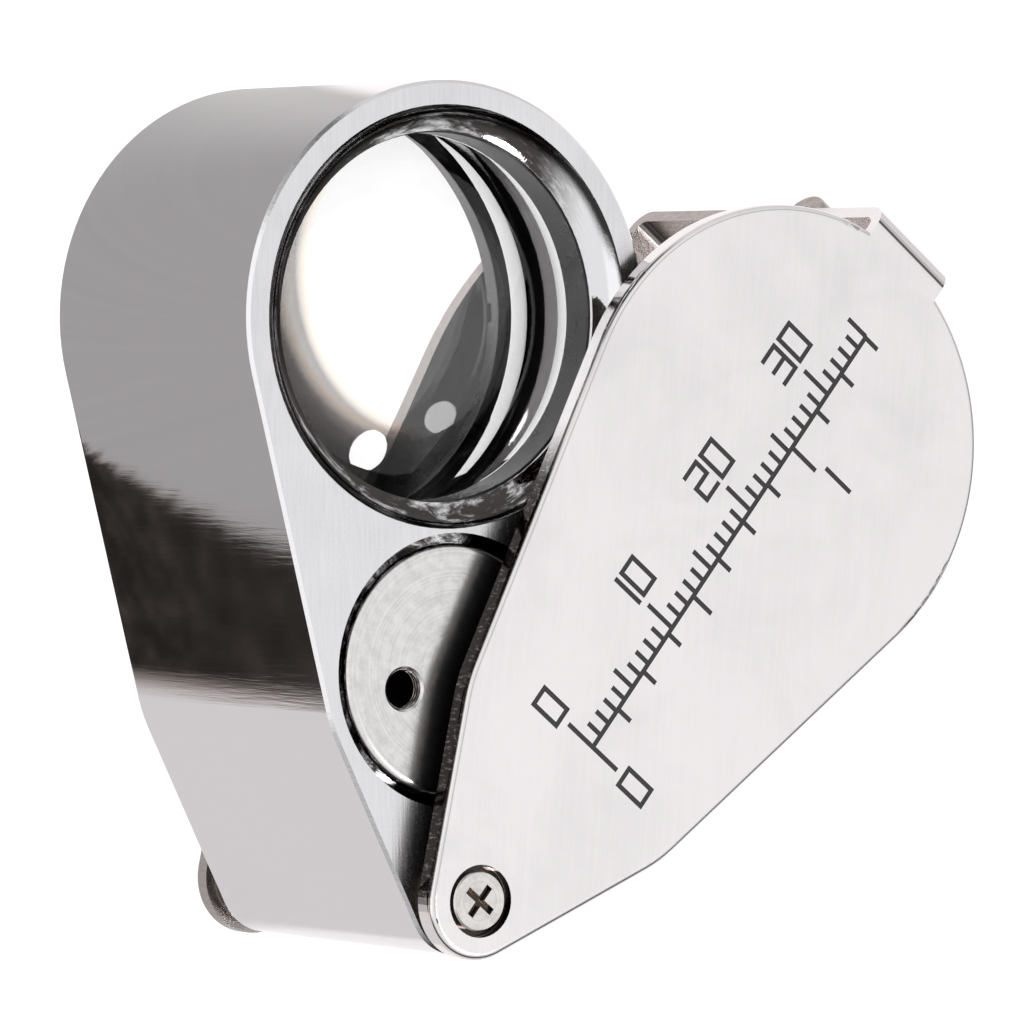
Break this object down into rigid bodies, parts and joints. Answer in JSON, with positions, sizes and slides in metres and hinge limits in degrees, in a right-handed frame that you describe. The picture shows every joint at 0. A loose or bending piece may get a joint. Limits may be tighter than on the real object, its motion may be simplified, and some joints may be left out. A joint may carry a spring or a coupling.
{
  "type": "folding loupe",
  "caption": "Folding pocket loupe: a drop-shaped lens housing with lamps and cells swings out of a bent sheet-metal cover.",
  "frame": {"origin": "on the outer face of the rear cover plate, which the loupe lies on, on the axis that the lens has when the loupe is closed", "axes": "+Z from the rear plate to the front plate, along the lens axis; +Y from the pivot to the strap, along the cover"},
  "size_m": [0.0565, 0.0637, 0.0296],
  "materials": {
    "cover_steel": "satin face, polished edges",
    "eye_steel": "polished",
    "post_steel": "turned",
    "screw_steel": "nickel plated",
    "washer_brass": "turned",
    "spring_steel": "bright",
    "housing_chrome": "satin eye face, polished flank",
    "black_ring": "black anodised",
    "lens_glass": "polished",
    "cap_chrome": "satin face, polished edge",
    "cell_steel": "nickel plated",
    "sleeve_plastic": "moulded",
    "contact_brass": "plated",
    "board_green": "solder mask",
    "led_clear": "clear epoxy",
    "led_violet": "tinted epoxy",
    "resistor_black": "glazed",
    "panel_black": "satin black",
    "switch_black": "moulded",
    "knob_black": "moulded, ribbed"
  },
  "bodies": {
    "cover": {"cover_shell": "cover_steel", "lanyard_eye": "eye_steel", "pivot_post": "post_steel", "front_pivot_screw": "screw_steel", "rear_pivot_screw": "screw_steel", "front_washer": "washer_brass", "rear_washer": "washer_brass", "front_spring_washer": "spring_steel", "rear_spring_washer": "spring_steel"},
    "housing": {"lens_housing": "housing_chrome", "eye_stop_ring": "black_ring", "eye_lens": "lens_glass", "centre_lens": "lens_glass", "object_lens": "lens_glass", "lens_retaining_ring": "black_ring", "battery_cap": "cap_chrome", "button_cell_1": "cell_steel", "button_cell_2": "cell_steel", "button_cell_3": "cell_steel", "battery_sleeve": "sleeve_plastic", "battery_spring": "spring_steel", "contact_plate": "contact_brass", "led_board": "board_green", "white_led": "led_clear", "ultraviolet_led": "led_violet", "resistors": "resistor_black", "rear_panel": "panel_black", "panel_screws": "screw_steel", "switch_body": "switch_black"},
    "switch": {"switch_knob": "knob_black"}
  },
  "joints": [
    {"name": "housing_swing", "type": "hinge", "parent": "cover", "child": "housing", "pos_m": [0, -0.0382, 0.0148], "axis": [0, 0, 1], "range_deg": [-40.5, 139.5]},
    {"name": "switch_slide", "type": "slide", "parent": "housing", "child": "switch", "axis": [-0.4566, 0.8897, 0], "range_m": [-0.0015, 0.0015]}
  ]
}
